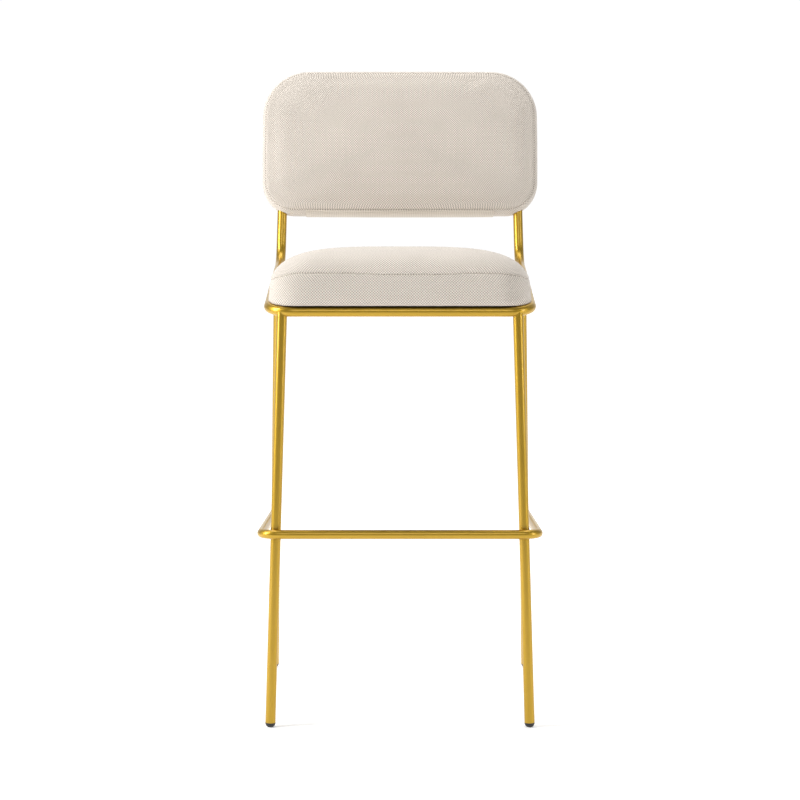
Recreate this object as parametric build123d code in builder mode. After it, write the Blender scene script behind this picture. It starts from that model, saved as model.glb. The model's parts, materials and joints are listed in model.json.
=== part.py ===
"""Bar stool with footrest: a bent-tube frame with a padded seat and a padded back.

The front faces -Y and +Z is up. Left and right are as seen from the front, so left is
-X. The origin is on the floor, under the middle of the stool. Millimetres.
"""

from build123d import *
import os
from math import hypot

# ---------------------------------------------------------------- driving dimensions
TUBE_R, TUBE_WALL = 9.0, 1.5            # hoop and legs
REST_R, REST_WALL = 8.0, 1.5            # footrest

# The hoop is one bent tube: front bar, two sides that climb backwards, two posts.
HOOP_HALF = 226.3                       # side tube's axis, from the middle
HOOP_FRONT_Y, HOOP_FRONT_Z = -243.0, 721.0
HOOP_RISE = 0.2                         # climb of the side tubes, per unit of depth
POST_BEND_Y = 153.6                     # where side and post axes would cross
POST_LEAN = 0.2126                      # backwards, per unit of height
POST_TOE_IN = 0.0206                    # inwards, per unit of height
POST_RISE = 318.0                       # post above its bend, hidden in the back
FRONT_BEND_R, POST_BEND_R = 42.0, 55.0

# Legs: centre of the lower tube end, and the point where the axis meets the hoop.
FOOT_Z = 8.0
FRONT_FOOT, FRONT_TOP = (225.0, -243.0), (201.9, -239.1)
REAR_FOOT, REAR_TOP = (248.8, 258.2), (226.3, 77.0)

# Footrest: a U that passes in front of the front legs and ends on the rear legs, where
# it is a little lower.
REST_FRONT_HALF, REST_FRONT_Y = 239.0, -258.7
REST_FRONT_Z, REST_REAR_Z = 339.0, 323.0
REST_BEND_R = 28.0

# Glides: domed plastic feet on a ribbed stem.
GLIDE_R, GLIDE_STEM, GLIDE_RIBS = 9.1, 16.0, 3

# Seat: plywood board on two flat rails, which run from the front bar to a cross bar.
BOARD_TOP_Z, BOARD_T = 730.0, 15.0
BOARD_FRONT, BOARD_REAR = (204.0, -228.0), (200.0, 134.0)
RAIL_X, RAIL_W, RAIL_T = 175.0, 30.0, 3.0
RAIL_FRONT_Y, RAIL_REAR_Y = -243.0, 108.0
CROSS_W, CROSS_T = 30.0, 6.0
SEAT_SCREW_Y = (-150.0, 60.0)
SEAT_SCREW_HEAD_T = 2.6
SEAT_FRONT, SEAT_REAR = (230.0, -256.0), (214.0, 140.0)
SEAT_BOTTOM_Z, SEAT_TOP_Z = 730.8, 829.0
SEAT_CORNER_R, SEAT_TOP_R, SEAT_BOTTOM_R = 58.0, 30.0, 7.0
COVER_T = 1.6                           # fabric and its wadding
TUBE_GAP = 0.4                          # air between the cover and the tubes

# Back: foam and cover around a plywood board that hangs between the posts.
BACK_HALF, BACK_HEIGHT, BACK_T = 262.5, 279.5, 55.0
BACK_BOTTOM_Z = 890.0
BACK_TOP_R, BACK_BOTTOM_R, BACK_EDGE_R = 86.0, 60.0, 19.0
BACK_BOARD_HALF, BACK_BOARD_T = 208.0, 12.0
BACK_BOARD_LOW, BACK_BOARD_HIGH = 30.0, 250.0
TAB_LEVELS = {"lower": 62.0, "upper": 200.0}
TAB_IN, TAB_H, TAB_T = 172.0, 30.0, 3.0
TAB_SCREW_X = 190.0
STRIP_HALF, STRIP_W, STRIP_T = 180.0, 12.0, 1.2

SIDES = {"left": -1, "right": 1}


# ------------------------------------------------------------------- helper geometry
def hoop_z(y):
    """Height of the hoop's axis on its straight, climbing part."""
    return HOOP_FRONT_Z + HOOP_RISE * (y - HOOP_FRONT_Y)


def mirrored_path(half):
    """The points of one side, from the rear end forwards, followed by their mirror."""
    return half + [(-x, y, z) for x, y, z in reversed(half)]


def on_axis(foot, top, z):
    """Point at height z on the leg axis from foot to top."""
    share = (z - FOOT_Z) / (hoop_z(top[1]) - FOOT_Z)
    return (foot[0] + share * (top[0] - foot[0]), foot[1] + share * (top[1] - foot[1]), z)


def side_point(point, sign):
    """The same point on the chosen side of the stool."""
    return Vector(sign * point[0], point[1], point[2])


def plan_corners(front, rear, grow=0.0):
    """Corners of a plan that is symmetric in X, grown outwards by grow."""
    (fx, fy), (rx, ry) = front, rear
    return [(-fx - grow, fy - grow), (fx + grow, fy - grow),
            (rx + grow, ry + grow), (-rx - grow, ry + grow)]


POST_BEND = (HOOP_HALF, POST_BEND_Y, hoop_z(POST_BEND_Y))
POST_TOP = (HOOP_HALF - POST_TOE_IN * POST_RISE, POST_BEND_Y + POST_LEAN * POST_RISE,
            POST_BEND[2] + POST_RISE)
HOOP_POINTS = mirrored_path([POST_TOP, POST_BEND, (HOOP_HALF, HOOP_FRONT_Y, HOOP_FRONT_Z)])
HOOP_RADII = [POST_BEND_R, FRONT_BEND_R, FRONT_BEND_R, POST_BEND_R]
REST_POINTS = mirrored_path([on_axis(REAR_FOOT, REAR_TOP, REST_REAR_Z),
                             (REST_FRONT_HALF, REST_FRONT_Y, REST_FRONT_Z)])

# The back's own plane: X across, Y up the lean, Z forwards, through the post axes.
BACK_Y = POST_BEND_Y + POST_LEAN * (BACK_BOTTOM_Z - POST_BEND[2])
BACK_PLANE = Plane(origin=(0, BACK_Y, BACK_BOTTOM_Z), x_dir=(1, 0, 0),
                   z_dir=(0, -1, POST_LEAN))


def post_x(up):
    """Distance of the post's axis from the middle, at a level on the back's plane."""
    z = BACK_BOTTOM_Z + up / hypot(1, POST_LEAN)
    return HOOP_HALF - POST_TOE_IN * (z - POST_BEND[2])


def bent_rod(points, radii, outer, inner=0.0):
    """A round bar (or a tube, when inner is given) along straight runs and bends."""
    with BuildPart() as rod:
        with BuildLine() as path:
            FilletPolyline(*points, radius=radii)
        with BuildSketch(Plane(origin=path.line @ 0, z_dir=path.line % 0)):
            Circle(outer)
            if inner:
                Circle(inner, mode=Mode.SUBTRACT)
        sweep(path=path.line)
    return rod.part


def straight_rod(start, end, outer, inner=0.0):
    """A straight round bar or tube from start to end."""
    axis = Vector(*end) - Vector(*start)
    with BuildPart() as rod:
        with BuildSketch(Plane(origin=start, z_dir=axis)):
            Circle(outer)
            if inner:
                Circle(inner, mode=Mode.SUBTRACT)
        extrude(amount=axis.length)
    return rod.part


def leg_ends(foot, top, sign):
    """Lower tube end and meeting point with the hoop, on one side."""
    return (side_point(on_axis(foot, top, FOOT_Z), sign),
            side_point(on_axis(foot, top, hoop_z(top[1])), sign))


def save(part, name):
    """Label the finished piece and write its STEP file."""
    part.label = name
    export_step(part, f"parts/{name}.step")


os.makedirs("parts", exist_ok=True)

# ------------------------------------------------------------------------- the frame
hoop_solid = bent_rod(HOOP_POINTS, HOOP_RADII, TUBE_R)

with BuildPart() as hoop:
    add(bent_rod(HOOP_POINTS, HOOP_RADII, TUBE_R, TUBE_R - TUBE_WALL))
save(hoop.part, "hoop_tube")

LEGS = {"front": (FRONT_FOOT, FRONT_TOP), "rear": (REAR_FOOT, REAR_TOP)}
for place, (foot, top) in LEGS.items():
    for side, sign in SIDES.items():
        low, high = leg_ends(foot, top, sign)
        with BuildPart() as leg:
            add(straight_rod(low, high, TUBE_R, TUBE_R - TUBE_WALL))
            add(hoop_solid, mode=Mode.SUBTRACT)
        save(leg.part, f"{place}_leg_{side}")

        # Glide: a ball cut by the tube end and by the floor, with a ribbed stem.
        end_plane = Plane(origin=low, z_dir=high - low)
        with BuildPart() as glide:
            with Locations(low):
                Sphere(GLIDE_R)
            split(bisect_by=end_plane, keep=Keep.BOTTOM)
            split(bisect_by=Plane.XY, keep=Keep.TOP)
            with BuildSketch(end_plane):
                Circle(TUBE_R - TUBE_WALL - 0.6)
            extrude(amount=GLIDE_STEM)
            for rib in range(GLIDE_RIBS):
                with BuildSketch(end_plane.offset(2.0 + 5.0 * rib)):
                    Circle(TUBE_R - TUBE_WALL)
                extrude(amount=1.2)
        save(glide.part, f"{place}_glide_{side}")

with BuildPart() as footrest:
    add(bent_rod(REST_POINTS, [REST_BEND_R] * 2, REST_R, REST_R - REST_WALL))
    for sign in SIDES.values():
        add(straight_rod(*leg_ends(REAR_FOOT, REAR_TOP, sign), TUBE_R), mode=Mode.SUBTRACT)
save(footrest.part, "footrest_bar")

RAIL_BOTTOM_Z = BOARD_TOP_Z - BOARD_T - RAIL_T
cross_x, cross_y, cross_z = on_axis(REAR_FOOT, REAR_TOP, RAIL_BOTTOM_Z - CROSS_T)
with BuildPart() as cross_bar:
    with BuildSketch(Plane((0, cross_y, cross_z))):
        Rectangle(2 * cross_x, CROSS_W)
    extrude(amount=CROSS_T)
    for sign in SIDES.values():
        add(straight_rod(*leg_ends(REAR_FOOT, REAR_TOP, sign), TUBE_R), mode=Mode.SUBTRACT)
save(cross_bar.part, "rear_cross_bar")

# -------------------------------------------------------------------------- the seat
RAIL_LENGTH = RAIL_REAR_Y - RAIL_FRONT_Y
RAIL_MID_Y = (RAIL_REAR_Y + RAIL_FRONT_Y) / 2
for side, sign in SIDES.items():
    with BuildPart() as rail:
        with BuildSketch(Plane((sign * RAIL_X, RAIL_MID_Y, RAIL_BOTTOM_Z))):
            RectangleRounded(RAIL_W, RAIL_LENGTH, 6.0)
        extrude(amount=RAIL_T)
        add(hoop_solid, mode=Mode.SUBTRACT)
        for y in SEAT_SCREW_Y:
            with BuildSketch(Plane((sign * RAIL_X, y, RAIL_BOTTOM_Z))):
                Circle(3.3)
            extrude(amount=RAIL_T, mode=Mode.SUBTRACT)
    save(rail.part, f"seat_rail_{side}")

SEAT_SCREWS = {f"{place}_{side}": (sign * RAIL_X, y)
               for side, sign in SIDES.items()
               for place, y in zip(("front", "rear"), SEAT_SCREW_Y)}
FLANGE_R, FLANGE_T, BARREL_R, BARREL_L = 9.0, 1.5, 4.0, 10.0

with BuildPart() as seat_board:
    with BuildSketch(Plane.XY.offset(BOARD_TOP_Z - BOARD_T)) as board_plan:
        with BuildLine():
            Polyline(*plan_corners(BOARD_FRONT, BOARD_REAR), close=True)
        make_face()
        fillet(board_plan.vertices(), radius=40.0)
    extrude(amount=BOARD_T)
    with Locations([(x, y, BOARD_TOP_Z) for x, y in SEAT_SCREWS.values()]):
        CounterBoreHole(radius=BARREL_R, counter_bore_radius=FLANGE_R,
                        counter_bore_depth=FLANGE_T)
save(seat_board.part, "seat_board")

for place, (x, y) in SEAT_SCREWS.items():
    with BuildPart() as tee_nut:
        with BuildSketch(Plane((x, y, BOARD_TOP_Z - FLANGE_T))):
            Circle(FLANGE_R)
        extrude(amount=FLANGE_T)
        with BuildSketch(Plane((x, y, BOARD_TOP_Z - FLANGE_T))):
            Circle(BARREL_R)
        extrude(amount=-BARREL_L)
        with BuildSketch(Plane((x, y, BOARD_TOP_Z - FLANGE_T - BARREL_L))):
            Circle(3.0)
        extrude(amount=FLANGE_T + BARREL_L, mode=Mode.SUBTRACT)
    save(tee_nut.part, f"seat_tee_nut_{place}")

    with BuildPart() as screw:
        with BuildSketch(Plane((x, y, RAIL_BOTTOM_Z))):
            Circle(5.5)
        extrude(amount=-SEAT_SCREW_HEAD_T)
        fillet(screw.faces().sort_by(Axis.Z)[0].edges(), radius=1.6)
        with BuildSketch(Plane((x, y, RAIL_BOTTOM_Z))):
            Circle(3.0)
        extrude(amount=16.0)
        with BuildSketch(Plane((x, y, RAIL_BOTTOM_Z - SEAT_SCREW_HEAD_T))):
            RegularPolygon(radius=2.3, side_count=6)
        extrude(amount=1.8, mode=Mode.SUBTRACT)
    save(screw.part, f"seat_screw_{place}")


def seat_block(inset):
    """The seat pad's outer shape moved inwards by inset, with its rounded edges."""
    with BuildPart() as block:
        with BuildSketch(Plane.XY.offset(SEAT_BOTTOM_Z + inset)) as plan:
            with BuildLine():
                Polyline(*plan_corners(SEAT_FRONT, SEAT_REAR, -inset), close=True)
            make_face()
            fillet(plan.vertices(), radius=SEAT_CORNER_R - inset)
        extrude(amount=SEAT_TOP_Z - SEAT_BOTTOM_Z - 2 * inset)
        fillet(block.faces().sort_by(Axis.Z)[-1].edges(), radius=SEAT_TOP_R - inset)
        fillet(block.faces().sort_by(Axis.Z)[0].edges(), radius=SEAT_BOTTOM_R - inset)
        add(bent_rod(HOOP_POINTS, HOOP_RADII, TUBE_R + TUBE_GAP + inset), mode=Mode.SUBTRACT)
    return block.part


def board_prism(grow, bottom, top):
    """The seat board's plan, grown sideways, between two heights."""
    with BuildPart() as prism:
        with BuildSketch(Plane.XY.offset(bottom)) as plan:
            with BuildLine():
                Polyline(*plan_corners(BOARD_FRONT, BOARD_REAR, grow), close=True)
            make_face()
            fillet(plan.vertices(), radius=40.0 + grow)
        extrude(amount=top - bottom)
    return prism.part


with BuildPart() as seat_foam:
    add(seat_block(COVER_T))
    add(board_prism(0.0, BOARD_TOP_Z, SEAT_BOTTOM_Z + 4 * COVER_T))
save(seat_foam.part, "seat_foam")

with BuildPart() as seat_cover:
    add(seat_block(0.0))
    add(board_prism(COVER_T, BOARD_TOP_Z - BOARD_T, SEAT_BOTTOM_Z + COVER_T))
    add(board_prism(0.0, BOARD_TOP_Z - BOARD_T, BOARD_TOP_Z), mode=Mode.SUBTRACT)
    add(seat_foam.part, mode=Mode.SUBTRACT)
save(seat_cover.part, "seat_cover")

# -------------------------------------------------------------------------- the back
buried = []                             # hard pieces that the back's foam is cut around
for side, sign in SIDES.items():
    end_plane = Plane(origin=side_point(POST_TOP, sign),
                      z_dir=(-sign * POST_TOE_IN, POST_LEAN, 1))
    with BuildPart() as plug:
        with BuildSketch(end_plane):
            Circle(TUBE_R)
        extrude(amount=2.0)
        with BuildSketch(end_plane):
            Circle(TUBE_R - TUBE_WALL)
        extrude(amount=-12.0)
    save(plug.part, f"post_plug_{side}")
    buried.append(plug.part)

BOARD_MID = (BACK_BOARD_LOW + BACK_BOARD_HIGH) / 2
TAB_SCREWS = {f"{level}_{side}": (sign * TAB_SCREW_X, up)
              for level, up in TAB_LEVELS.items() for side, sign in SIDES.items()}

with BuildPart() as back_board:
    with BuildSketch(BACK_PLANE.offset(-BACK_BOARD_T / 2)):
        with Locations((0, BOARD_MID)):
            RectangleRounded(2 * BACK_BOARD_HALF, BACK_BOARD_HIGH - BACK_BOARD_LOW, 20.0)
    extrude(amount=BACK_BOARD_T)
    with BuildSketch(BACK_PLANE.offset(-BACK_BOARD_T / 2)):
        with Locations(list(TAB_SCREWS.values())):
            Circle(2.5)
    extrude(amount=9.0, mode=Mode.SUBTRACT)
save(back_board.part, "back_board")
buried.append(back_board.part)

tab_plane = BACK_PLANE.offset(-BACK_BOARD_T / 2)
for place, (x, up) in TAB_SCREWS.items():
    sign = 1 if x > 0 else -1
    tab_out = post_x(up) - TUBE_R / 2
    with BuildPart() as tab:
        with BuildSketch(tab_plane):
            with Locations((sign * (TAB_IN + tab_out) / 2, up)):
                Rectangle(tab_out - TAB_IN, TAB_H)
            with Locations((x, up)):
                Circle(2.5, mode=Mode.SUBTRACT)
        extrude(amount=-TAB_T)
        add(hoop_solid, mode=Mode.SUBTRACT)
    save(tab.part, f"back_tab_{place}")

    with BuildPart() as wood_screw:
        with BuildSketch(tab_plane.offset(-TAB_T)):
            with Locations((x, up)):
                Circle(4.6)
        extrude(amount=-2.8)
        fillet(wood_screw.faces().filter_by(BACK_PLANE).sort_by(Axis.Y)[-1].edges(), radius=1.4)
        with BuildSketch(tab_plane.offset(-TAB_T)):
            with Locations((x, up)):
                Circle(2.5)
        extrude(amount=TAB_T + 9.0)
    save(wood_screw.part, f"back_screw_{place}")
    buried += [tab.part, wood_screw.part]


def back_block(inset):
    """The back pad's outer shape moved inwards by inset, with its rounded edges."""
    with BuildPart() as block:
        with BuildSketch(BACK_PLANE.offset(-BACK_T / 2 + inset)) as outline:
            with Locations((0, BACK_HEIGHT / 2)):
                Rectangle(2 * (BACK_HALF - inset), BACK_HEIGHT - 2 * inset)
            fillet(outline.vertices().group_by(Axis.Y)[-1], radius=BACK_TOP_R - inset)
            fillet(outline.vertices().group_by(Axis.Y)[0], radius=BACK_BOTTOM_R - inset)
        extrude(amount=BACK_T - 2 * inset)
        fillet(block.faces().filter_by(BACK_PLANE).edges(), radius=BACK_EDGE_R - inset)
    return block.part


with BuildPart() as back_foam:
    add(back_block(COVER_T))
    add(hoop_solid, mode=Mode.SUBTRACT)
    for piece in buried:
        add(piece, mode=Mode.SUBTRACT)
save(back_foam.part, "back_foam")

with BuildPart() as back_cover:
    add(back_block(0.0))
    add(back_block(COVER_T), mode=Mode.SUBTRACT)
    add(bent_rod(HOOP_POINTS, HOOP_RADII, TUBE_R + TUBE_GAP), mode=Mode.SUBTRACT)
save(back_cover.part, "back_cover")

# Closure strip: a folded hem that shuts the cover's lower edge between the posts.
with BuildPart() as strip:
    with BuildSketch(Plane(origin=(0, BACK_Y, BACK_BOTTOM_Z), x_dir=(1, 0, 0),
                           z_dir=-BACK_PLANE.y_dir)):
        RectangleRounded(2 * STRIP_HALF, STRIP_W, 2.0)
    extrude(amount=STRIP_T)
save(strip.part, "back_closure_strip")
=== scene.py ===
# %% [markdown]
# # A brass bar stool, one step at a time
#
# This lesson dresses a finished CAD model. The CAD parts arrive as a fixed frame: tubes,
# screws, boards and feet, all in metres and already in place. Blender adds what CAD can't
# say: how the cushions swell, where their seams pull, and what each surface is made of.

# %% Load the frame
import json
import bmesh
import bpy
import numpy as np
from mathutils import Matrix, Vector


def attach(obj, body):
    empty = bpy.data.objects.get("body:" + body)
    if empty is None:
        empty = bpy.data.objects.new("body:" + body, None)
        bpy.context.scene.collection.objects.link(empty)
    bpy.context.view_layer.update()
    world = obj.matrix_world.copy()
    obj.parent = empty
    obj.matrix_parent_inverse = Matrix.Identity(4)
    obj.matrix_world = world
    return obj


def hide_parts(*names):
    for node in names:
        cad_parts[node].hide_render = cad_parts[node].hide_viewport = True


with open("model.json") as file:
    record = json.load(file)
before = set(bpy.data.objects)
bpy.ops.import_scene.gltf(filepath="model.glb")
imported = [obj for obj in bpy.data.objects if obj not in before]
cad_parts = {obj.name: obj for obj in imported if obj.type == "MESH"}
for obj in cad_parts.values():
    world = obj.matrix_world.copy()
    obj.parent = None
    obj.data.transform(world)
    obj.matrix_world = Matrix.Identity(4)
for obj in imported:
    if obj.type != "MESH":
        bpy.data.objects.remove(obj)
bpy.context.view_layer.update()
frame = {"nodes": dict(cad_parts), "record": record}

# %% [markdown]
# ## Grids that become meshes
#
# Every new piece is a surface worked out on a grid: rows run one way, columns the other.
# One helper joins the grid's points with four-sided faces and can close the columns into a
# loop. It also takes a flat place for each grid point, the UV map, which later tells the
# weave which way the threads run.

# %% Turn arrays into a mesh piece
def as_piece(name, points, faces, uv=None):
    """A smooth mesh object from points (n, 3), faces (m, k) and one UV pair per face corner."""
    mesh = bpy.data.meshes.new(name)
    mesh.from_pydata(points.reshape(-1, 3).tolist(), [], faces.tolist())
    if uv is not None:
        layer = mesh.uv_layers.new(name="cloth")
        layer.data.foreach_set("uv", uv.astype(np.float32).ravel())
    mesh.polygons.foreach_set("use_smooth", np.ones(len(mesh.polygons), bool))
    mesh.update()
    piece = bpy.data.objects.new(name, mesh)
    bpy.context.scene.collection.objects.link(piece)
    return piece


def grid_faces(rows, columns, closed):
    """Quads between neighbours: their corners are (r, c), (r, c+1), (r+1, c+1), (r+1, c)."""
    last = columns if closed else columns - 1
    r, c = np.meshgrid(np.arange(rows - 1), np.arange(last), indexing="ij")
    after = (c + 1) % columns
    return np.stack([r * columns + c, r * columns + after,
                     (r + 1) * columns + after, (r + 1) * columns + c], -1).reshape(-1, 4)


def corner_uv(uv_grid):
    """The UV pairs of grid_faces' corners, from a grid one column wider than the mesh."""
    return np.stack([uv_grid[:-1, :-1], uv_grid[:-1, 1:], uv_grid[1:, 1:], uv_grid[1:, :-1]],
                    2).reshape(-1, 2)


# %% [markdown]
# ## The stool's main lines
#
# The cushions have to fit the bent tube that holds them, so the lesson needs the tube's
# centre line. It is the same one that the CAD model uses: straight runs with a circular
# bend at each corner. All lengths are in metres.

# %% Sizes that the pieces share
TUBE_R = 0.009
HOOP_HALF, HOOP_FRONT_Y, HOOP_FRONT_Z, HOOP_RISE = 0.2263, -0.243, 0.721, 0.2
POST_BEND_Y, POST_LEAN, POST_TOE_IN, POST_RISE = 0.1536, 0.2126, 0.0206, 0.318
FRONT_BEND_R, POST_BEND_R = 0.042, 0.055
POST_BEND_Z = HOOP_FRONT_Z + HOOP_RISE * (POST_BEND_Y - HOOP_FRONT_Y)
HOOP_CORNERS = np.array([
    [HOOP_HALF - POST_TOE_IN * POST_RISE, POST_BEND_Y + POST_LEAN * POST_RISE,
     POST_BEND_Z + POST_RISE],
    [HOOP_HALF, POST_BEND_Y, POST_BEND_Z],
    [HOOP_HALF, HOOP_FRONT_Y, HOOP_FRONT_Z],
])
HOOP_CORNERS = np.vstack([HOOP_CORNERS, HOOP_CORNERS[::-1] * [-1, 1, 1]])
HOOP_BENDS = [POST_BEND_R, FRONT_BEND_R, FRONT_BEND_R, POST_BEND_R]
print("hoop corners\n", HOOP_CORNERS)


# %% Straight runs with round bends
def unit(v):
    """Vectors scaled to length one."""
    return v / np.linalg.norm(v, axis=-1, keepdims=True)


def length_along(line):
    """Running length of a polyline, starting at zero."""
    return np.concatenate([[0], np.cumsum(np.linalg.norm(np.diff(line, axis=0), axis=1))])


def even_steps(line, count):
    """count points spread evenly along a polyline, by its running length."""
    run = length_along(line)
    at = np.linspace(0, run[-1], count)
    return np.stack([np.interp(at, run, line[:, k]) for k in range(line.shape[1])], -1)


def bend(before, corner, after, radius, count=24):
    """Points of the arc that touches both runs: its centre lies on the corner's bisector."""
    back, ahead = unit(before - corner), unit(after - corner)
    half = np.arccos(np.clip(back @ ahead, -1, 1)) / 2
    centre = corner + unit(back + ahead) * radius / np.sin(half)
    start = corner + back * radius / np.tan(half) - centre
    end = corner + ahead * radius / np.tan(half) - centre
    turn = np.pi - 2 * half
    t = np.linspace(0, 1, count)[:, None]
    return centre + (np.sin((1 - t) * turn) * start + np.sin(t * turn) * end) / np.sin(turn)


def bent_line(corners, radii, count, closed=False):
    """A polyline with its corners rounded, resampled evenly."""
    arcs = []
    if closed:
        pairs = zip(np.roll(corners, 1, 0), corners, np.roll(corners, -1, 0), radii)
    else:
        pairs = zip(corners[:-2], corners[1:-1], corners[2:], radii)
    for before, corner, after, radius in pairs:
        arcs.append(bend(before, corner, after, radius))
    line = np.vstack(arcs)
    line = np.vstack([line, line[:1]]) if closed else np.vstack([corners[:1], line, corners[-1:]])
    return even_steps(line, count)


hoop_line = bent_line(HOOP_CORNERS, HOOP_BENDS, 900)
print("hoop length in metres", np.linalg.norm(np.diff(hoop_line, axis=0), axis=1).sum())

# %% [markdown]
# ## The camera, the floor and the light
#
# The picture is taken from a little above the seat with a long lens, so that upright tubes
# stay upright. Metal looks like metal when it has something dark to mirror, so the world is
# white only beyond the stool and falls to dark grey behind the camera. The floor glows more
# towards the back, so that it meets the white without a line. This is made for the front
# view: from the sides and from behind, the grey shows. A tall soft light on the left gives
# the tubes their bright stripe.

# %% Camera
CAMERA_PLACE = (0.0, -3.743, 0.843)
CAMERA_PITCH = -4.47
CAMERA_LENS = 92.1

camera_data = bpy.data.cameras.new("camera")
camera_data.lens = CAMERA_LENS
camera_data.sensor_width = 36.0
camera = bpy.data.objects.new("camera", camera_data)
camera.location = CAMERA_PLACE
camera.rotation_euler = (np.radians(90 + CAMERA_PITCH), 0, 0)
bpy.context.scene.collection.objects.link(camera)
bpy.context.scene.camera = camera
bpy.context.scene.view_settings.view_transform = "Standard"


# %% [markdown]
# ## Shader maths as plain expressions
#
# A material is a little machine of nodes. Writing `a * 2 + noise` is easier to read than
# wiring three nodes, so a socket is wrapped in a class whose operators add the Math nodes.
# Everything else goes through one method, `make`.

# %% A socket with operators
class Signal:
    """An output socket that builds Math nodes when it meets +, -, * or /."""

    def __init__(self, tree, socket=None):
        self.tree, self.socket = tree, socket

    def make(self, kind, settings=None, output=0, **inputs):
        """Adds a node: settings first, then the value or link of each named or numbered socket."""
        node = self.tree.nodes.new(kind)
        for key, value in (settings or {}).items():
            if key == "stops":
                ramp = node.color_ramp
                for spot, (position, colour) in enumerate(value):
                    stop = ramp.elements[spot] if spot < 2 else ramp.elements.new(position)
                    stop.position, stop.color = position, colour
            else:
                setattr(node, key, value)
        for key, value in inputs.items():
            place = int(key[1:]) if key[0] == "_" else key.replace("_", " ")
            if isinstance(value, Signal):
                self.tree.links.new(value.socket, node.inputs[place])
            else:
                node.inputs[place].default_value = value
        return Signal(self.tree, node.outputs[output])

    def math(self, operation, *others):
        """One Math node with this signal first."""
        values = {f"_{k}": v for k, v in enumerate((self,) + others)}
        return self.make("ShaderNodeMath", {"operation": operation}, **values)

    def __add__(self, other):
        return self.math("ADD", other)

    def __sub__(self, other):
        return self.math("SUBTRACT", other)

    def __mul__(self, other):
        return self.math("MULTIPLY", other)

    def __truediv__(self, other):
        return self.math("DIVIDE", other)

    def __rsub__(self, other):
        return (self * -1.0) + other

    __radd__, __rmul__ = __add__, __mul__

    def blend(self, low, high):
        """Mixes two colours, with this signal as the share of the second."""
        return self.make("ShaderNodeMix", {"data_type": "RGBA"}, output=2, _0=self, _6=low, _7=high)


def finish_named(name, build, **constants):
    """A material: constants go straight on the shader, and build adds what varies."""
    material = bpy.data.materials.new(name)
    material.use_nodes = True
    tree = material.node_tree
    shader = tree.nodes["Principled BSDF"]
    for key, value in constants.items():
        shader.inputs[key.replace("_", " ")].default_value = value
    for socket, signal in build(Signal(tree)).items():
        tree.links.new(signal.socket, shader.inputs[socket])
    return material


def rgb(*levels):
    """A colour with full alpha, from linear red, green and blue."""
    return (*levels, 1.0)


# %% Floor, world and lights
FLOOR_WHITE = rgb(0.97, 0.97, 0.97)
FLOOR_REACH = 30.0


def floor_build(s):
    """White card with the faintest unevenness, lit from below more and more towards the back."""
    place = s.make("ShaderNodeTexCoord", output="Object")
    grain = s.make("ShaderNodeTexNoise", Vector=place, Scale=3.0, Detail=2.0)
    depth = s.make("ShaderNodeSeparateXYZ", output="Y", Vector=place)
    glow = depth.make("ShaderNodeValToRGB", {"stops": [
        (0.0, rgb(0.05, 0.05, 0.05)), (0.40, rgb(0.16, 0.16, 0.16)),
        (0.50, rgb(0.33, 0.33, 0.33)), (0.75, rgb(0.85, 0.85, 0.85))]}, Fac=depth * 0.1 + 0.5)
    return {"Base Color": grain.blend(FLOOR_WHITE, rgb(0.95, 0.95, 0.95)),
            "Emission Color": glow}


floor_finish = finish_named("studio_floor", floor_build, Roughness=0.9, Specular_IOR_Level=0.1,
                            Emission_Strength=1.0)
floor_points = np.array([[-1, -1, 0], [1, -1, 0], [1, 1, 0], [-1, 1, 0]]) * FLOOR_REACH
floor = as_piece("floor", floor_points, np.array([[0, 1, 2, 3]]))
floor.data.materials.append(floor_finish)

world = bpy.data.worlds.new("studio")
bpy.context.scene.world = world
world.use_nodes = True
world_signal = Signal(world.node_tree)
direction = world_signal.make("ShaderNodeTexCoord", output="Generated")
facing = world_signal.make("ShaderNodeSeparateXYZ", output="Y", Vector=direction)
wall = facing.make("ShaderNodeValToRGB", {"stops": [
    (0.0, rgb(0.12, 0.12, 0.12)), (0.45, rgb(0.26, 0.26, 0.26)), (0.80, rgb(0.50, 0.50, 0.50)),
    (0.97, rgb(1.02, 1.02, 1.02))]}, Fac=facing * 0.5 + 0.5)
world.node_tree.links.new(wall.socket, world.node_tree.nodes["Background"].inputs["Color"])
world.node_tree.nodes["Background"].inputs["Strength"].default_value = 1.0


def soft_light(name, place, aim, size, watts):
    """A rectangular lamp at place, turned to face aim."""
    data = bpy.data.lights.new(name, "AREA")
    data.shape = "RECTANGLE"
    data.size, data.size_y = size
    data.energy = watts
    lamp = bpy.data.objects.new(name, data)
    lamp.location = place
    lamp.rotation_euler = (Vector(aim) - Vector(place)).to_track_quat("-Z", "Y").to_euler()
    bpy.context.scene.collection.objects.link(lamp)


soft_light("key_left", (-2.4, -0.9, 1.7), (0, 0, 0.75), (0.8, 2.4), 70.0)
soft_light("fill_right", (2.6, -1.3, 1.2), (0, 0, 0.6), (0.5, 2.0), 19.0)
soft_light("front", (0.3, -3.6, 2.6), (0, 0, 0.9), (2.4, 1.4), 27.0)
soft_light("top", (0.0, 0.5, 3.0), (0, 0, 0.5), (2.4, 1.8), 44.0)

# %% [markdown]
# ## Satin brass
#
# The frame is steel with a brass-coloured plating. Plating is even, so the colour hardly
# changes; what the eye reads is a soft, slightly uneven gloss and the fine lengthwise marks
# of polishing. Noise on Object coordinates gives the gloss and the fine marks, at two very
# different scales; the fine noise runs every way, not along the tube.

# %% Brass
BRASS = rgb(0.53, 0.330, 0.034)
BRASS_WARM = rgb(0.47, 0.288, 0.026)


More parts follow.
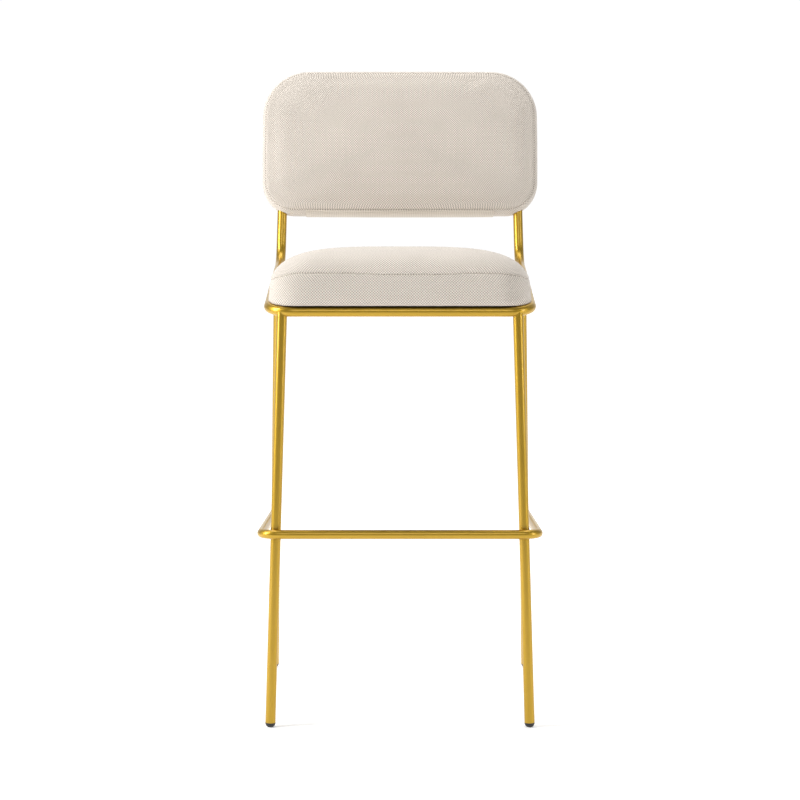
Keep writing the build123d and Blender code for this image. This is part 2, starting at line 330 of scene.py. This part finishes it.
def brass_build(s):
    """Cloudy colour, cloudy roughness, and fine polishing marks as bump."""
    place = s.make("ShaderNodeTexCoord", output="Object")
    cloud = s.make("ShaderNodeTexNoise", Vector=place, Scale=9.0, Detail=3.0)
    fine = s.make("ShaderNodeTexNoise", Vector=place, Scale=900.0, Detail=2.0)
    bump = s.make("ShaderNodeBump", Strength=0.05, Distance=0.0002, Height=fine)
    return {"Base Color": cloud.blend(BRASS, BRASS_WARM),
            "Roughness": cloud * 0.05 + fine * 0.05 + 0.33,
            "Normal": bump}


brass = finish_named("satin_brass", brass_build, Metallic=1.0, Coat_Weight=0.45,
                     Coat_Roughness=0.14)

# %% [markdown]
# ## The cream weave
#
# The cloth is a plain basket weave: fat threads over and under each other, so that light
# squares and shaded squares alternate like a chess board. Its threads are a little uneven.
# The pattern reads the UV map in metres, so that a thread has its real width everywhere.

# %% Woven cloth
THREAD = 0.0024
# The dark colours are painted shade for the lower squares of the weave, where the threads dip.
HEM_LIGHT, HEM_DARK = rgb(0.74, 0.675, 0.59), rgb(0.46, 0.405, 0.34)
CLOTH_LIGHT, CLOTH_DARK = rgb(0.86, 0.785, 0.70), rgb(0.16, 0.135, 0.11)


def weave_build(light, dark, turn=0.0):
    """A weave between two colours; turn rotates the threads, in radians."""
    def build(s):
        flat = s.make("ShaderNodeUVMap", {"uv_map": "cloth"})
        flat = s.make("ShaderNodeMapping", Vector=flat, Rotation=(0, 0, turn))
        drift = s.make("ShaderNodeTexNoise", Vector=flat, Scale=55.0, Detail=2.0)
        slub = s.make("ShaderNodeTexNoise", Vector=flat, Scale=420.0, Detail=2.0)
        along = s.make("ShaderNodeSeparateXYZ", output="X", Vector=flat)
        across = s.make("ShaderNodeSeparateXYZ", output="Y", Vector=flat)
        warp = ((along + drift * 0.0016) * (np.pi / THREAD)).math("SINE")
        weft = ((across + drift * 0.0016) * (np.pi / THREAD)).math("SINE")
        over = warp * weft
        height = over.math("ABSOLUTE").math("POWER", 0.5)
        # shade is partly painted shade on the lower squares of the weave and partly uneven yarn
        # tone from slub and patch.
        shade = (0.20 - over * 0.48 + slub * 0.25).math("MAXIMUM", 0.0).math("MINIMUM", 1.0)
        patch = s.make("ShaderNodeTexNoise", Vector=flat, Scale=9.0, Detail=1.0)
        bump = s.make("ShaderNodeBump", Strength=0.7, Distance=0.0005,
                      Height=height + over * 0.5 + slub * 0.4)
        return {"Base Color": (shade + patch * 0.12 - 0.06).blend(light, dark), "Normal": bump}
    return build


cream_cloth = finish_named("cream_weave", weave_build(CLOTH_LIGHT, CLOTH_DARK),
                           Roughness=0.92, Sheen_Weight=0.25, Sheen_Roughness=0.5,
                           Specular_IOR_Level=0.25)
hem_cloth = finish_named("hem_weave", weave_build(HEM_LIGHT, HEM_DARK, turn=0.8),
                         Roughness=0.92, Sheen_Weight=0.2, Specular_IOR_Level=0.25)
print("materials", [m.name for m in bpy.data.materials])

# %% [markdown]
# ## Small finishes
#
# The feet and plugs are moulded black plastic with a fine orange-peel skin. The screws,
# tabs and nuts are zinc-plated, the hidden boards are birch plywood with its layers showing
# on the edge, and the underside is closed by a thin black felt.

# %% Plastic, zinc, plywood and felt
def skin_build(scale, low, high):
    """Roughness from low to high and a fine bump of the same noise."""
    def build(s):
        place = s.make("ShaderNodeTexCoord", output="Object")
        grain = s.make("ShaderNodeTexNoise", Vector=place, Scale=scale, Detail=3.0)
        bump = s.make("ShaderNodeBump", Strength=0.3, Distance=0.0002, Height=grain)
        return {"Roughness": grain * (high - low) + low, "Normal": bump}
    return build


def plywood_build(s):
    """Layers stacked along Z and grain stretched along Y."""
    place = s.make("ShaderNodeTexCoord", output="Object")
    stretched = s.make("ShaderNodeMapping", Vector=place, Scale=(60.0, 4.0, 60.0))
    grain = s.make("ShaderNodeTexNoise", Vector=stretched, Scale=1.0, Detail=6.0, Roughness=0.6)
    height = s.make("ShaderNodeSeparateXYZ", output="Z", Vector=place)
    layer = (height * (2 * np.pi / 0.003)).math("SINE") * 0.5 + 0.5
    tone = grain * 0.7 + layer * 0.3
    return {"Base Color": tone.blend(rgb(0.62, 0.45, 0.26), rgb(0.38, 0.24, 0.12)),
            "Roughness": grain * 0.2 + 0.55}


black_plastic = finish_named("black_plastic", skin_build(2500.0, 0.28, 0.5),
                             Base_Color=rgb(0.012, 0.012, 0.013))
zinc = finish_named("zinc_plate", skin_build(700.0, 0.25, 0.45),
                    Base_Color=rgb(0.62, 0.62, 0.6), Metallic=1.0)
plywood = finish_named("birch_plywood", plywood_build)
felt = finish_named("black_felt", skin_build(1800.0, 0.85, 1.0), Base_Color=rgb(0.02, 0.02, 0.021))
thread_finish = finish_named("cream_thread", skin_build(3000.0, 0.6, 0.8),
                             Base_Color=rgb(0.40, 0.345, 0.28))

# %% Dress the CAD nodes
FINISH_OF_SLOT = {"frame_metal": brass, "cover_fabric": cream_cloth, "closure_fabric": hem_cloth,
                  "foam": felt, "plywood": plywood, "glide_plastic": black_plastic,
                  "plug_plastic": black_plastic, "zinc_steel": zinc}
slot_of_node = {row["node"]: row["material_slot"] for row in frame["record"]["subparts"]}
for node, thing in frame["nodes"].items():
    thing.data.materials.clear()
    thing.data.materials.append(FINISH_OF_SLOT[slot_of_node[node]])
print("CAD nodes dressed:", len(frame["nodes"]))

# %% [markdown]
# ## Cushions as swept outlines
#
# A cushion is an outline seen from above and a profile that runs from the middle of its
# underside, round its edge, to the middle of its top. Sweeping the profile round the
# outline gives a closed grid. Rows crowd together near the seams, where the cloth dips,
# and stay wide elsewhere, so that the mesh spends its faces where there is something to see.

# %% Outline
def outline_of(corners, radii, count, bow=(0.0, 0.0)):
    """A rounded polygon, anticlockwise, with its outward normals.

    Its straight sides are bowed outwards, by a parabola that is zero at their ends.
    """
    line = bent_line(np.asarray(corners, float), radii, count + 1, closed=True)[:-1]
    normal = outward(line)
    share = (line - line.min(0)) / np.ptp(line, axis=0)
    swell_out = np.abs(normal) * np.array(bow) * (1 - (2 * share[:, ::-1] - 1) ** 2)
    line = line + normal * swell_out.sum(-1, keepdims=True)
    return line, outward(line)


def outward(line):
    """Normals of a closed anticlockwise outline: its direction turned a quarter clockwise."""
    along = unit(np.roll(line, -1, 0) - np.roll(line, 1, 0))
    return np.stack([along[:, 1], -along[:, 0]], -1)


# %% Profile
SHARE_MIN = 0.02
STEPS = np.linspace(0, 1, 200)[:, None]


class Profile:
    """A walk over the cushion, as a table of inset, height and share of the flat part.

    A place on it is s, the length walked from the middle of the underside, where reach is
    the distance from the middle to the rim.
    """

    def __init__(self, reach, *stretches):
        self.reach = reach
        self.table = np.vstack([np.hstack(np.broadcast_arrays(*part)) for part in stretches])
        steps = np.diff(self.table * [1, 1, reach], axis=0)
        self.s = np.concatenate([[0], np.cumsum(np.linalg.norm(steps, axis=1))])
        self.end = self.s[-1]

    def at(self, s):
        """Inset, height and share at each s, read from the table."""
        return [np.interp(s, self.s, self.table[:, k]) for k in range(3)]

    def place_of(self, height):
        """The s where the walk first climbs past a height."""
        return self.s[np.argmax(self.table[:, 1] > height)]

    def rows(self, seams, edge, wide=0.006, near=0.007, fine=0.0007):
        """Places along the profile: wide steps, and fine ones near seams and a tight edge."""
        close = np.concatenate([seam + np.arange(-near, near + fine, fine) for seam in seams])
        tight = np.linspace(edge[0] - 0.002, edge[1] + 0.002, 10)
        tight = tight[np.abs(tight[:, None] - close[None]).min(1) > fine]
        coarse = np.concatenate([np.arange(0, self.end, wide), [self.end]])
        fixed = np.concatenate([close, tight])
        return np.unique(np.concatenate([
            coarse[np.abs(coarse[:, None] - fixed[None]).min(1) > 0.0016], fixed]))


def panel_stretch(level, crown, edge_r, outwards):
    """A panel: level + crown x (1 - share^2)^1.3, walked outwards or inwards."""
    share = SHARE_MIN + (1 - SHARE_MIN) * (STEPS if outwards else 1 - STEPS)
    return edge_r, level + crown * (1 - share ** 2) ** 1.3, share


def dome_stretch(level, rise):
    """A dome with steep sides: share^4 + ((height - level) / rise)^2 = 1, walked inwards."""
    turn = STEPS * np.arccos(SHARE_MIN ** 2)
    return 0.0, level + rise * np.sin(turn), np.sqrt(np.cos(turn))


def edge_stretch(level, radius, rising):
    """A quarter round from the underside to the side (rising), or from the side to the top."""
    turn = STEPS * np.pi / 2
    if rising:
        return radius * (1 - np.sin(turn)), level + radius * (1 - np.cos(turn)), 1.0
    return radius * (1 - np.cos(turn)), level - radius * (1 - np.sin(turn)), 1.0


def side_stretch(low, high, bulge):
    """The side from low to high, standing out by bulge x sin(pi t) in its middle."""
    return -bulge * np.sin(np.pi * STEPS), low + (high - low) * STEPS, 1.0


# %% Sweep
def sweep_pad(line, normal, profile, places):
    """Grid points (rows, columns, 3): centre + (outline - normal x inset - centre) x share."""
    inset, height, share = (value[..., None] for value in profile.at(places))
    centre = line.mean(0)
    plan = centre + (line - normal * inset - centre) * share
    return np.concatenate([plan, height], -1)


# %% [markdown]
# ## Cutting the cloth
#
# Cloth is flat until it is sewn. The top and the underside are cut as one panel each, which
# keeps its own plan and unrolls past the edge. The band between the seams is a long strip,
# as long as the outline. The UV map stores those flat places, so the weave runs straight in
# each panel and changes direction only at a seam, as it does on a real cushion.

# %% Flat places of the panels
def flat_cloth(line, profile, places, is_band):
    """One UV pair per face corner; is_band says for each row of faces if it is the band.

    A panel's flat place is centre + (outline - centre) x (length walked from the middle) / reach.
    """
    line = np.vstack([line, line[:1]])
    s = np.hstack([places, places[:, :1]])
    centre = line[:-1].mean(0)
    walked = SHARE_MIN + np.minimum(s, profile.end - s)[..., None] / profile.reach
    panel = centre + (line - centre) * walked
    band = np.stack(np.broadcast_arrays(length_along(line)[None], s), -1)
    choice = np.repeat(is_band, (len(line) - 1) * 4)[:, None]
    return np.where(choice, corner_uv(band), corner_uv(panel))


def pad_piece(name, grid, uv):
    """A cushion mesh from its grid, closed at both middles by a small face."""
    rows, columns = grid.shape[:2]
    quads = grid_faces(rows, columns, closed=True)
    low_cap = np.arange(columns)[::-1]
    high_cap = (rows - 1) * columns + np.arange(columns)
    mesh = bpy.data.meshes.new(name)
    mesh.from_pydata(grid.reshape(-1, 3).tolist(), [],
                     quads.tolist() + [low_cap.tolist(), high_cap.tolist()])
    caps_uv = np.concatenate([uv[:columns * 4:4][::-1], uv[-columns * 4 + 3::4]])
    layer = mesh.uv_layers.new(name="cloth")
    layer.data.foreach_set("uv", np.concatenate([uv, caps_uv]).astype(np.float32).ravel())
    mesh.polygons.foreach_set("use_smooth", np.ones(len(mesh.polygons), bool))
    mesh.update()
    piece = bpy.data.objects.new(name, mesh)
    bpy.context.scene.collection.objects.link(piece)
    return piece


# %% [markdown]
# ## Letting the cushion swell
#
# A stuffed cushion is not the shape it was cut to. Air pressure in a cloth simulation finds
# how far each part swells: much in the middle of a panel, little along its edges. The
# simulation runs on an even copy of the cushion, and the tidy grid is then laid on it, so
# that the grid keeps its rows at the seams and its flat cloth map.

# %% Reading and moving mesh points
def points_of(mesh):
    """All vertex places of a mesh as an array."""
    out = np.empty(len(mesh.vertices) * 3)
    mesh.vertices.foreach_get("co", out)
    return out.reshape(-1, 3)


def normals_of(mesh):
    """All vertex normals of a mesh as an array."""
    out = np.empty(len(mesh.vertices) * 3)
    mesh.vertices.foreach_get("normal", out)
    return out.reshape(-1, 3)


def set_points(mesh, points):
    """Moves a mesh's vertices."""
    mesh.vertices.foreach_set("co", points.ravel())
    mesh.update()


def applied(piece):
    """Makes the piece's modifiers part of its mesh."""
    graph = bpy.context.evaluated_depsgraph_get()
    done = bpy.data.meshes.new_from_object(piece.evaluated_get(graph))
    piece.modifiers.clear()
    piece.data = done
    return done


# %% Cloth simulation
def swell(piece, shape, hold, share, limit, voxel=0.006, pressure=4.0):
    """Blows the piece up as cloth and lays its points on the result.

    A row moves by at most limit, and by the part of it that hold gives, from 0 to 1. Near
    the middle, where the columns meet, a whole row moves by its mean.
    """
    start = points_of(piece.data)
    even = piece.copy()
    even.data = piece.data.copy()
    bpy.context.scene.collection.objects.link(even)
    remesh = even.modifiers.new("even", "REMESH")
    remesh.mode, remesh.voxel_size = "VOXEL", voxel
    before = points_of(applied(even))
    cloth = even.modifiers.new("air", "CLOTH")
    cloth.settings.quality = 4
    cloth.settings.use_pressure = True
    cloth.settings.uniform_pressure_force = pressure
    cloth.settings.effector_weights.gravity = 0
    for frame_number in range(1, 21):
        bpy.context.scene.frame_set(frame_number)
    moved = points_of(applied(even)) - before
    size = np.linalg.norm(moved, axis=1, keepdims=True)
    set_points(even.data, before + moved * np.minimum(1, limit / np.maximum(size, 1e-9)))
    calm = even.modifiers.new("calm", "SMOOTH")
    calm.factor, calm.iterations = 0.5, 10
    applied(even)
    wrap = piece.modifiers.new("lay", "SHRINKWRAP")
    wrap.wrap_method, wrap.target = "PROJECT", even
    wrap.use_negative_direction = wrap.use_positive_direction = True
    wrap.project_limit = limit * 2
    moved = (points_of(applied(piece)) - start).reshape(shape)
    apart = smooth_step(share, 0.1, 0.35)[:, None, None]
    moved = moved * apart + moved.mean(1, keepdims=True) * (1 - apart)
    moved = moved * hold[:, None, None]
    set_points(piece.data, start + moved.reshape(-1, 3))
    bpy.data.objects.remove(even)
    print(piece.name, "swelled by up to", round(float(np.abs(moved).max()) * 1000, 1), "mm")


def smooth_step(value, start, end):
    """0 before start, 1 after end, and 3t^2 - 2t^3 between them."""
    t = np.clip((value - start) / (end - start), 0, 1)
    return t * t * (3 - 2 * t)


# %% [markdown]
# ## Seams, stitches and the grip of the tube
#
# A seam pulls the cloth into a narrow dip, and each stitch pulls a little deeper, which is
# why a topstitched line looks dotted. The grid has fewer than two columns to a stitch, too
# few to follow each one, so the holes come out further apart than the beads of thread.
# Beside the tube the cushion is squeezed: every point that would be inside the tube is moved
# towards the cushion's middle until it is clear.

# %% Dips and stitch holes
STITCH_PITCH = 0.0052


def sew(points, normals, s, seam, run, depth, width=0.0013, hole=0.0009, pucker=0.00006):
    """Moves grid points inwards: a bell-shaped dip across the seam, deeper at each stitch hole."""
    across = np.exp(-((s - seam) / width) ** 2)[:, None]
    wide = np.exp(-((s - seam) / (width * 4)) ** 2)[:, None]
    wave = np.cos(2 * np.pi * run / STITCH_PITCH)[None, :]
    inward = depth * across + hole * across * (0.5 + 0.5 * wave) ** 3 + pucker * wide * wave
    return points - normals * inward[..., None]


# %% Tube grooves
def clear_of_hoop(points, middle, gap=0.0006):
    """Moves points that are inside the hoop tube towards middle, until they are gap outside it."""
    reach = TUBE_R + gap
    nearest = np.empty(len(points), int)
    for start in range(0, len(points), 4000):
        part = points[start:start + 4000]
        apart = ((part[:, None] - hoop_line[None]) ** 2).sum(-1)
        nearest[start:start + 4000] = apart.argmin(1)
    centre = hoop_line[nearest]
    along = unit(np.gradient(hoop_line, axis=0))[nearest]
    offset = points - centre
    offset = offset - (offset * along).sum(-1, keepdims=True) * along
    inwards = (middle - centre) * [1, 1, 0.1]
    inwards = unit(inwards - (inwards * along).sum(-1, keepdims=True) * along)
    dot = (offset * inwards).sum(-1)
    inside = (offset ** 2).sum(-1) < reach ** 2
    step = -dot + np.sqrt(np.maximum(dot ** 2 - (offset ** 2).sum(-1) + reach ** 2, 0))
    return points + inwards * np.where(inside, step, 0)[:, None]


# %% Stitches along a line
def stitch_row(line, normals, length=0.0036, thickness=0.0004, lift=0.0):
    """One bead of thread between each pair of holes: an ellipsoid stretched along the line."""
    run = length_along(line)
    at = np.arange(STITCH_PITCH / 2, run[-1], STITCH_PITCH)
    place = np.stack([np.interp(at, run, line[:, k]) for k in range(3)], -1)
    up = unit(np.stack([np.interp(at, run, normals[:, k]) for k in range(3)], -1))
    ahead = unit(np.stack([np.interp(at + 1e-4, run, line[:, k]) for k in range(3)], -1) - place)
    side = np.cross(up, ahead)
    lengthways = np.linspace(-1, 1, 7)[:, None]
    around = np.linspace(0, 2 * np.pi, 6, endpoint=False)[None]
    girth = np.sqrt(np.maximum(1 - lengthways ** 2, 0.0))
    shape = np.stack(np.broadcast_arrays(
        lengthways * length / 2, girth * np.cos(around) * thickness,
        girth * np.sin(around) * thickness + lift), -1).reshape(-1, 3)
    beads = place[:, None] + shape[None] @ np.stack([ahead, side, up], 1)
    quads = grid_faces(7, 6, closed=True)[:, ::-1]
    quads = quads[None] + (np.arange(len(at)) * 42)[:, None, None]
    return beads.reshape(-1, 3), quads.reshape(-1, 4)


def stitched(name, line, normals):
    """A stitch row as a piece in thread, with the points that meet at each bead's ends merged."""
    piece = as_piece(name, *stitch_row(line, normals))
    shape = bmesh.new()
    shape.from_mesh(piece.data)
    bmesh.ops.remove_doubles(shape, verts=shape.verts, dist=1e-6)
    bmesh.ops.recalc_face_normals(shape, faces=shape.faces)
    shape.to_mesh(piece.data)
    shape.free()
    piece.data.materials.append(thread_finish)
    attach(piece, "root")
    print(name, len(piece.data.polygons), "faces")


# %% [markdown]
# ## The seat cushion
#
# The seat is a firm pad with a square front, a soft rounded top edge and a topstitched seam
# two thirds of the way up its side. It is wider at the front, where it lies on the corners
# of the hoop, and narrows to pass between the posts. Round the corners the heavy top panel
# pulls the seam down by a centimetre, so the rows near the seam are shifted to follow it.

# %% Seat cushion shape
SEAT_COLUMNS = 480
SEAT_BOTTOM, SEAT_BULGE_Z, SEAT_TOP, SEAT_SEAM_Z = 0.7303, 0.766, 0.8285, 0.7872
SEAT_EDGE_R = 0.007
SEAT_FRONT, SEAT_REAR = (0.2300, -0.2560), (0.2135, 0.1385)
SEAT_CORNERS = [(-SEAT_FRONT[0], SEAT_FRONT[1]), (SEAT_FRONT[0], SEAT_FRONT[1]),
                (SEAT_REAR[0], SEAT_REAR[1]), (-SEAT_REAR[0], SEAT_REAR[1])]

seat_line, seat_normal = outline_of(SEAT_CORNERS, [0.056, 0.056, 0.055, 0.055], SEAT_COLUMNS)
seat_profile = Profile(
    0.21, panel_stretch(SEAT_BOTTOM, 0.0, SEAT_EDGE_R, True),
    edge_stretch(SEAT_BOTTOM, SEAT_EDGE_R, True),
    side_stretch(SEAT_BOTTOM + SEAT_EDGE_R, SEAT_BULGE_Z, 0.0008),
    dome_stretch(SEAT_BULGE_Z, SEAT_TOP - SEAT_BULGE_Z))
seat_seam = seat_profile.place_of(SEAT_SEAM_Z)
seat_side = seat_profile.place_of(SEAT_BOTTOM + SEAT_EDGE_R)
seat_rows = seat_profile.rows([seat_seam], (seat_profile.place_of(SEAT_BOTTOM), seat_side))
seat_run = length_along(seat_line)
seat_sag = (0.012 * seat_normal[:, 0] ** 2
            + 0.002 * np.exp(-((seat_line[:, 0] - 0.02) / 0.09) ** 2)
            + 0.0004 * np.sin(seat_run * 61.0) + 0.0003 * np.sin(seat_run * 143.0))
seat_near = np.exp(-((seat_rows - seat_seam) / 0.026) ** 2)
seat_places = seat_rows[:, None] - seat_near[:, None] * seat_sag[None]
seat_grid = sweep_pad(seat_line, seat_normal, seat_profile, seat_places)
seat_middle_rows = (seat_rows[:-1] + seat_rows[1:]) / 2
seat_is_band = ((seat_middle_rows > seat_profile.place_of(SEAT_BOTTOM + 0.001))
                & (seat_middle_rows < seat_seam))
seat_uv = flat_cloth(seat_line, seat_profile, seat_places, seat_is_band)
seat = pad_piece("seat_cushion", seat_grid, seat_uv)
print("seat grid", seat_grid.shape)

# %% Seat cushion, swollen and sewn
swell(seat, seat_grid.shape, smooth_step(seat_rows, seat_side, seat_side + 0.02),
      seat_profile.at(seat_rows)[2], 0.003)
seat_points = points_of(seat.data).reshape(seat_grid.shape)
seat_normals = normals_of(seat.data).reshape(seat_grid.shape)
seat_points = sew(seat_points, seat_normals, seat_rows, seat_seam, seat_run, 0.0013,
                  hole=0.0018)
seat_points = clear_of_hoop(seat_points.reshape(-1, 3), np.array([0.0, -0.05, 0.78]))
set_points(seat.data, seat_points)
seat.data.materials.append(cream_cloth)
seat.data.materials.append(felt)
seat_is_under = seat_middle_rows < seat_profile.place_of(SEAT_BOTTOM + 0.0006)
seat_slots = np.concatenate([np.repeat(seat_is_under, SEAT_COLUMNS), [True, False]])
seat.data.polygons.foreach_set("material_index", seat_slots.astype(np.int32))
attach(seat, "root")
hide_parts("seat_cover", "seat_foam")
print("seat cushion", len(seat.data.polygons), "faces", seat_points.min(0), seat_points.max(0))


# %% Seat stitches
def seam_of(piece, shape, rows, seam):
    """Points and normals of the grid row on the seam, closed into a loop."""
    row = int(np.abs(rows - seam).argmin())
    line = points_of(piece.data).reshape(shape)[row]
    normals = normals_of(piece.data).reshape(shape)[row]
    return np.vstack([line, line[:1]]), np.vstack([normals, normals[:1]])


stitched("seat_stitches", *seam_of(seat, seat_grid.shape, seat_rows, seat_seam))

# %% [markdown]
# ## The back cushion
#
# The back is the same idea turned upright and leaned back: its outline is the shape seen
# from the front, and its profile runs from the rear panel to the front panel. Two seams
# join a narrow band to the panels, one near each edge.

# %% Back cushion shape
BACK_COLUMNS = 520
BACK_HALF, BACK_HEIGHT, BACK_THICK = 0.2605, 0.2775, 0.050
BACK_LOW_R, BACK_HIGH_R = 0.017, 0.018
BACK_BOTTOM_Z, BACK_LIFT = 0.890, 0.0004
BACK_Y = POST_BEND_Y + POST_LEAN * (BACK_BOTTOM_Z - POST_BEND_Z)
BACK_AXES = np.array([[1.0, 0.0, 0.0], unit(np.array([0.0, POST_LEAN, 1.0])),
                      unit(np.array([0.0, -1.0, POST_LEAN]))])


def on_back(points):
    """From the back's own axes (across, up, forwards) to the stool's."""
    return np.array([0.0, BACK_Y, BACK_BOTTOM_Z]) + points @ BACK_AXES


back_corners = [(-BACK_HALF, BACK_LIFT), (BACK_HALF, BACK_LIFT),
                (BACK_HALF, BACK_LIFT + BACK_HEIGHT), (-BACK_HALF, BACK_LIFT + BACK_HEIGHT)]
back_line, back_normal = outline_of(back_corners, [0.060, 0.060, 0.086, 0.086], BACK_COLUMNS,
                                    bow=(0.002, 0.0012))
back_profile = Profile(
    0.18, panel_stretch(-BACK_THICK / 2, -0.003, BACK_LOW_R, True),
    edge_stretch(-BACK_THICK / 2, BACK_LOW_R, True),
    side_stretch(BACK_LOW_R - BACK_THICK / 2, BACK_THICK / 2 - BACK_HIGH_R, 0.0),
    edge_stretch(BACK_THICK / 2, BACK_HIGH_R, False),
    panel_stretch(BACK_THICK / 2, 0.005, BACK_HIGH_R, False))
back_seam = back_profile.place_of(BACK_THICK / 2 - BACK_HIGH_R * (1 - np.sin(np.radians(50))))
back_low_seam = back_profile.place_of(-BACK_THICK / 2 + BACK_LOW_R * (1 - np.cos(np.radians(40))))
back_rows = back_profile.rows([back_low_seam, back_seam], (back_low_seam, back_low_seam))
back_run = length_along(back_line)
back_places = np.repeat(back_rows[:, None], BACK_COLUMNS, 1)
back_grid = sweep_pad(back_line, back_normal, back_profile, back_places)
back_middle_rows = (back_rows[:-1] + back_rows[1:]) / 2
back_is_band = (back_middle_rows > back_low_seam) & (back_middle_rows < back_seam)
back_uv = flat_cloth(back_line, back_profile, back_places, back_is_band)
back = pad_piece("back_cushion", on_back(back_grid), back_uv)
print("back grid", back_grid.shape)

# %% Back cushion, swollen and sewn
back_hold = (smooth_step(back_rows, back_seam, back_seam + 0.03)
             + smooth_step(-back_rows, -back_low_seam, 0.03 - back_low_seam))
swell(back, back_grid.shape, back_hold, back_profile.at(back_rows)[2], 0.005)
back_points = points_of(back.data).reshape(back_grid.shape)
back_normals = normals_of(back.data).reshape(back_grid.shape)
for seam in (back_low_seam, back_seam):
    back_points = sew(back_points, back_normals, back_rows, seam, back_run, 0.0015,
                      hole=0.0003, pucker=0.0)
set_points(back.data, back_points)
back.data.materials.append(cream_cloth)
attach(back, "root")
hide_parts("back_cover", "back_foam")
print("back cushion", len(back.data.polygons), "faces")

for name, seam in (("back_front_stitches", back_seam), ("back_rear_stitches", back_low_seam)):
    stitched(name, *seam_of(back, back_grid.shape, back_rows, seam))

# %% [markdown]
# ## The closing flap
#
# The cover is pulled on over the posts from above, so it is open between them. A folded
# flap shuts the opening along the lower edge. It is two layers of cloth, so it stands a
# little proud of the band; the short seam at each of its ends is not drawn.

# %% Closing flap
FLAP_HALF, FLAP_THICK = 0.180, 0.0014


def shell(points, normals, inner, outer):
    """A closed sheet over a grid: the grid moved out by outer and by inner, and walls between."""
    rows, columns = points.shape[:2]
    top = points + normals * outer
    bottom = points + normals * inner
    faces = grid_faces(rows, columns, closed=False)
    count = rows * columns
    index = np.arange(count).reshape(rows, columns)
    rim = np.concatenate([index[0, :], index[1:, -1], index[-1, -2::-1], index[-2:0:-1, 0]])
    after = np.roll(rim, -1)
    walls = np.stack([rim, rim + count, after + count, after], -1)
    return (np.concatenate([top.reshape(-1, 3), bottom.reshape(-1, 3)]),
            np.concatenate([faces, faces[:, ::-1] + count, walls]))


back_points = points_of(back.data).reshape(back_grid.shape)
back_normals = normals_of(back.data).reshape(back_grid.shape)
flap_columns = np.flatnonzero((back_normal[:, 1] < -0.9) & (np.abs(back_line[:, 0]) < FLAP_HALF))
flap_columns = flap_columns[np.argsort(back_line[flap_columns, 0])]
flap_rows = np.flatnonzero((back_rows > back_low_seam + 0.003) & (back_rows < back_seam - 0.0012))
flap_grid = back_points[np.ix_(flap_rows, flap_columns)]
flap_normals = back_normals[np.ix_(flap_rows, flap_columns)]
flap_shape = shell(flap_grid, flap_normals, -0.0004, FLAP_THICK)
flap_flat = np.stack(np.broadcast_arrays(back_run[flap_columns][None],
                                         back_rows[flap_rows][:, None]), -1).reshape(-1, 2)
flap_uv = np.concatenate([flap_flat, flap_flat])[flap_shape[1].ravel()]
flap = as_piece("closing_flap", *flap_shape, uv=flap_uv)
bevel = flap.modifiers.new("fold", "BEVEL")
bevel.width, bevel.segments, bevel.limit_method = 0.0006, 2, "ANGLE"
applied(flap)
flap.data.materials.append(hem_cloth)
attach(flap, "root")
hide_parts("back_closure_strip")
print("closing flap", len(flap.data.polygons), "faces")

# %% [markdown]
# ## Under the seat
#
# The seat's cloth is folded round the board's edge and stapled to its underside. A piece of
# black felt between the two rails hides the raw edges and keeps dust out of the foam.

# %% Skirt round the board
BOARD_CORNERS = [(-0.204, -0.228), (0.204, -0.228), (0.200, 0.134), (-0.200, 0.134)]
board_line, board_normal = outline_of(BOARD_CORNERS, [0.040] * 4, 240)


def skirt_grid():
    """Rings of points: down the board's edge, round its lower corner, and inwards below it."""
    path = np.array([(0.0, 0.7310), (0.0, 0.7270), (0.0, 0.7225), (0.0, 0.7180), (0.0, 0.7158),
                     (-0.0006, 0.7147), (-0.0018, 0.7142), (-0.006, 0.7142), (-0.010, 0.7142)])
    plan = board_line[None] + board_normal[None] * (path[:, :1, None] + 0.0006)
    height = np.broadcast_to(path[:, 1][:, None, None], plan.shape[:2] + (1,))
    return np.concatenate([plan, height], -1)


skirt_points = skirt_grid()
skirt_rows, skirt_columns = skirt_points.shape[:2]
skirt_run = length_along(np.vstack([board_line, board_line[:1]]))
skirt_drop = length_along(skirt_points[:, 0])
skirt_uv = corner_uv(np.stack(np.broadcast_arrays(skirt_run[None], skirt_drop[:, None]), -1))
skirt = as_piece("seat_skirt", skirt_points, grid_faces(skirt_rows, skirt_columns, True)[:, ::-1],
                 skirt_uv.reshape(-1, 4, 2)[:, ::-1].reshape(-1, 2))
thick = skirt.modifiers.new("cloth", "SOLIDIFY")
thick.thickness, thick.offset = 0.0008, 0.0
applied(skirt)
skirt.data.materials.append(cream_cloth)
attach(skirt, "root")
print("skirt", len(skirt.data.polygons), "faces")

# %% Dust cover
felt_x, felt_y = np.meshgrid(np.linspace(-0.156, 0.156, 40), np.linspace(-0.2165, 0.1225, 40))
felt_z = 0.7138 + 0.0004 * np.sin(felt_x * 90) * np.sin(felt_y * 70)
felt_grid = np.stack([felt_x, felt_y, felt_z], -1)
felt_down = np.broadcast_to([0.0, 0.0, -1.0], felt_grid.shape)
felt_points, felt_faces = shell(felt_grid, felt_down, -0.0004, 0.0004)
dust_cover = as_piece("dust_cover", felt_points, felt_faces[:, ::-1])
dust_cover.data.materials.append(felt)
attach(dust_cover, "root")
print("dust cover", len(dust_cover.data.polygons), "faces")
